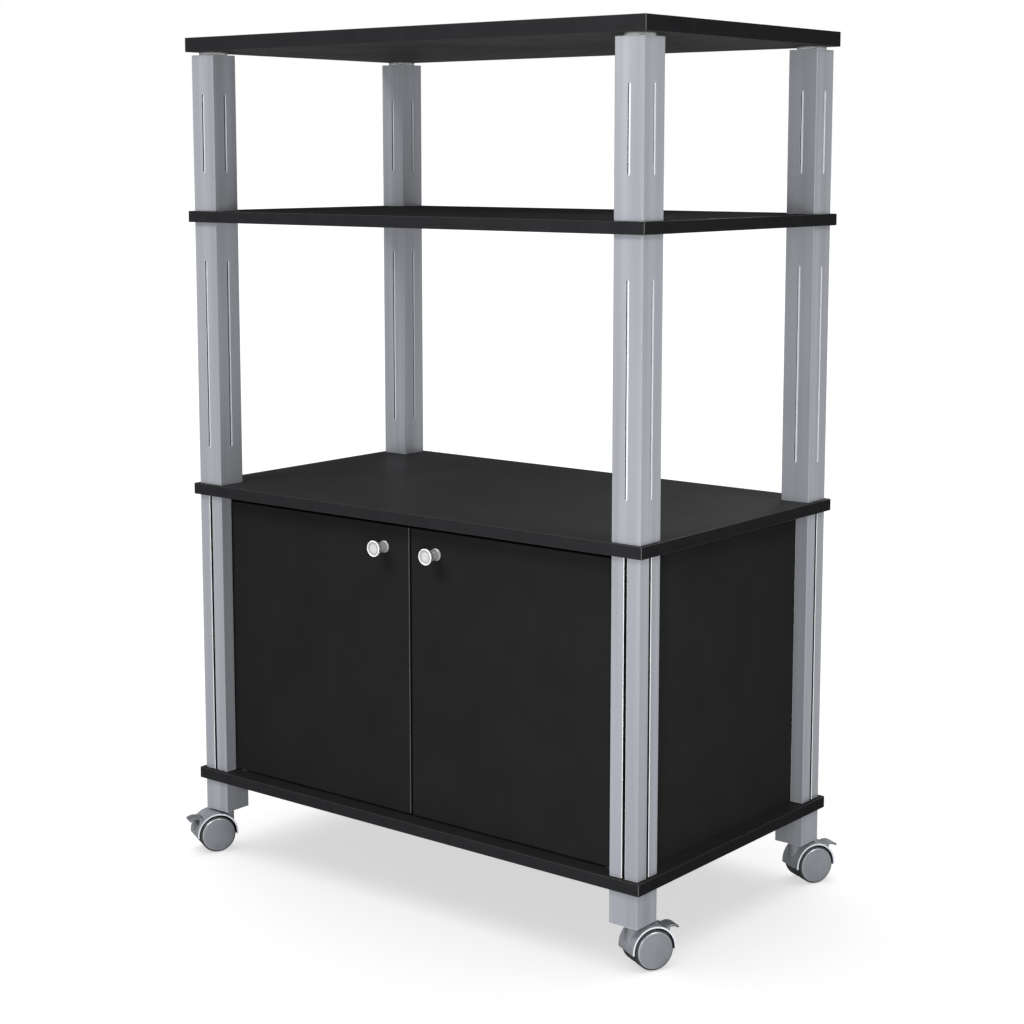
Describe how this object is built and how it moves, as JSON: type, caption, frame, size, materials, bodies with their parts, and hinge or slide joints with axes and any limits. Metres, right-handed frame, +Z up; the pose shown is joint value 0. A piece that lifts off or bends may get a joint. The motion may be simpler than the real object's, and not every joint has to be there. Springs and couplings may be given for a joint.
{
  "type": "microwave cart",
  "caption": "Rolling microwave cart with black boards on square silver posts, an open microwave bay, a closed cabinet with doors below and braked twin-wheel casters.",
  "frame": {"origin": "on the floor, under the centre of the boards", "axes": "+X to the cart's right as seen from the doors, +Y to its back, +Z up"},
  "size_m": [0.6196, 0.3918, 0.8955],
  "materials": {
    "laminate": "black laminate, semi-gloss",
    "panel": "black faced hardboard, satin",
    "post_metal": "silver powder coat, satin",
    "bright_metal": "polished",
    "steel": "zinc plated",
    "caster_grey": "moulded, satin",
    "caster_roller": "moulded tread with a satin cap",
    "dark_plastic": "moulded, matt"
  },
  "bodies": {
    "cart": {"top_board": "laminate", "upper_shelf": "laminate", "cabinet_top": "laminate", "cabinet_base": "laminate", "upper_post_front_left": "post_metal", "middle_post_front_left": "post_metal", "cabinet_post_front_left": "post_metal", "upper_post_front_right": "post_metal", "middle_post_front_right": "post_metal", "cabinet_post_front_right": "post_metal", "upper_post_back_left": "post_metal", "middle_post_back_left": "post_metal", "cabinet_post_back_left": "post_metal", "upper_post_back_right": "post_metal", "middle_post_back_right": "post_metal", "cabinet_post_back_right": "post_metal", "foot_tubes": "post_metal", "post_plugs": "dark_plastic", "joining_studs": "steel", "top_studs": "steel", "top_inserts": "steel", "top_discs": "bright_metal", "left_side_panel": "panel", "right_side_panel": "panel", "back_panel": "panel", "pivot_bushes": "dark_plastic", "magnetic_catch": "dark_plastic", "catch_screws": "steel", "caster_sockets": "dark_plastic", "caster_stems": "steel"},
    "door_left": {"left_door": "laminate", "left_knob": "bright_metal", "left_knob_screw": "steel", "left_pivot_pins": "steel", "left_strike_plate": "steel"},
    "door_right": {"right_door": "laminate", "right_knob": "bright_metal", "right_knob_screw": "steel", "right_pivot_pins": "steel", "right_strike_plate": "steel"},
    "swivel_front_left": {"caster_hood_front_left": "caster_grey", "caster_axle_front_left": "steel"},
    "roller_front_left_left": {"caster_wheel_front_left_left": "caster_roller"},
    "roller_front_left_right": {"caster_wheel_front_left_right": "caster_roller"},
    "brake_front_left": {"caster_lever_front_left": "caster_grey"},
    "swivel_front_right": {"caster_hood_front_right": "caster_grey", "caster_axle_front_right": "steel"},
    "roller_front_right_left": {"caster_wheel_front_right_left": "caster_roller"},
    "roller_front_right_right": {"caster_wheel_front_right_right": "caster_roller"},
    "brake_front_right": {"caster_lever_front_right": "caster_grey"},
    "swivel_back_left": {"caster_hood_back_left": "caster_grey", "caster_axle_back_left": "steel"},
    "roller_back_left_left": {"caster_wheel_back_left_left": "caster_roller"},
    "roller_back_left_right": {"caster_wheel_back_left_right": "caster_roller"},
    "brake_back_left": {"caster_lever_back_left": "caster_grey"},
    "swivel_back_right": {"caster_hood_back_right": "caster_grey", "caster_axle_back_right": "steel"},
    "roller_back_right_left": {"caster_wheel_back_right_left": "caster_roller"},
    "roller_back_right_right": {"caster_wheel_back_right_right": "caster_roller"},
    "brake_back_right": {"caster_lever_back_right": "caster_grey"}
  },
  "joints": [
    {"name": "door_left_hinge", "type": "hinge", "parent": "cart", "child": "door_left", "pos_m": [-0.25026, -0.1475, 0.093], "axis": [0, 0, -1], "range_deg": [0, 100]},
    {"name": "door_right_hinge", "type": "hinge", "parent": "cart", "child": "door_right", "pos_m": [0.25026, -0.1475, 0.093], "axis": [0, 0, 1], "range_deg": [0, 100]},
    {"name": "swivel_front_left_turn", "type": "hinge", "parent": "cart", "child": "swivel_front_left", "pos_m": [-0.2785, -0.151, 0.0445], "axis": [0, 0, 1], "continuous": true},
    {"name": "roller_front_left_left_spin", "type": "hinge", "parent": "swivel_front_left", "child": "roller_front_left_left", "pos_m": [-0.28576, -0.16526, 0.02], "axis": [0.891, -0.454, 0], "continuous": true},
    {"name": "roller_front_left_right_spin", "type": "hinge", "parent": "swivel_front_left", "child": "roller_front_left_right", "pos_m": [-0.28576, -0.16526, 0.02], "axis": [0.891, -0.454, 0], "continuous": true},
    {"name": "brake_front_left_press", "type": "hinge", "parent": "swivel_front_left", "child": "brake_front_left", "pos_m": [-0.29341, -0.18025, 0.03654], "axis": [0.891, -0.454, 0], "range_deg": [0, 10]},
    {"name": "swivel_front_right_turn", "type": "hinge", "parent": "cart", "child": "swivel_front_right", "pos_m": [0.2785, -0.151, 0.0445], "axis": [0, 0, 1], "continuous": true},
    {"name": "roller_front_right_left_spin", "type": "hinge", "parent": "swivel_front_right", "child": "roller_front_right_left", "pos_m": [0.28576, -0.13674, 0.02], "axis": [-0.891, 0.454, 0], "continuous": true},
    {"name": "roller_front_right_right_spin", "type": "hinge", "parent": "swivel_front_right", "child": "roller_front_right_right", "pos_m": [0.28576, -0.13674, 0.02], "axis": [-0.891, 0.454, 0], "continuous": true},
    {"name": "brake_front_right_press", "type": "hinge", "parent": "swivel_front_right", "child": "brake_front_right", "pos_m": [0.29341, -0.12175, 0.03654], "axis": [-0.891, 0.454, 0], "range_deg": [0, 10]},
    {"name": "swivel_back_left_turn", "type": "hinge", "parent": "cart", "child": "swivel_back_left", "pos_m": [-0.2785, 0.151, 0.0445], "axis": [0, 0, 1], "continuous": true},
    {"name": "roller_back_left_left_spin", "type": "hinge", "parent": "swivel_back_left", "child": "roller_back_left_left", "pos_m": [-0.28576, 0.13674, 0.02], "axis": [0.891, -0.454, 0], "continuous": true},
    {"name": "roller_back_left_right_spin", "type": "hinge", "parent": "swivel_back_left", "child": "roller_back_left_right", "pos_m": [-0.28576, 0.13674, 0.02], "axis": [0.891, -0.454, 0], "continuous": true},
    {"name": "brake_back_left_press", "type": "hinge", "parent": "swivel_back_left", "child": "brake_back_left", "pos_m": [-0.29341, 0.12175, 0.03654], "axis": [0.891, -0.454, 0], "range_deg": [0, 10]},
    {"name": "swivel_back_right_turn", "type": "hinge", "parent": "cart", "child": "swivel_back_right", "pos_m": [0.2785, 0.151, 0.0445], "axis": [0, 0, 1], "continuous": true},
    {"name": "roller_back_right_left_spin", "type": "hinge", "parent": "swivel_back_right", "child": "roller_back_right_left", "pos_m": [0.28576, 0.16526, 0.02], "axis": [-0.891, 0.454, 0], "continuous": true},
    {"name": "roller_back_right_right_spin", "type": "hinge", "parent": "swivel_back_right", "child": "roller_back_right_right", "pos_m": [0.28576, 0.16526, 0.02], "axis": [-0.891, 0.454, 0], "continuous": true},
    {"name": "brake_back_right_press", "type": "hinge", "parent": "swivel_back_right", "child": "brake_back_right", "pos_m": [0.29341, 0.18025, 0.03654], "axis": [-0.891, 0.454, 0], "range_deg": [0, 10]}
  ]
}
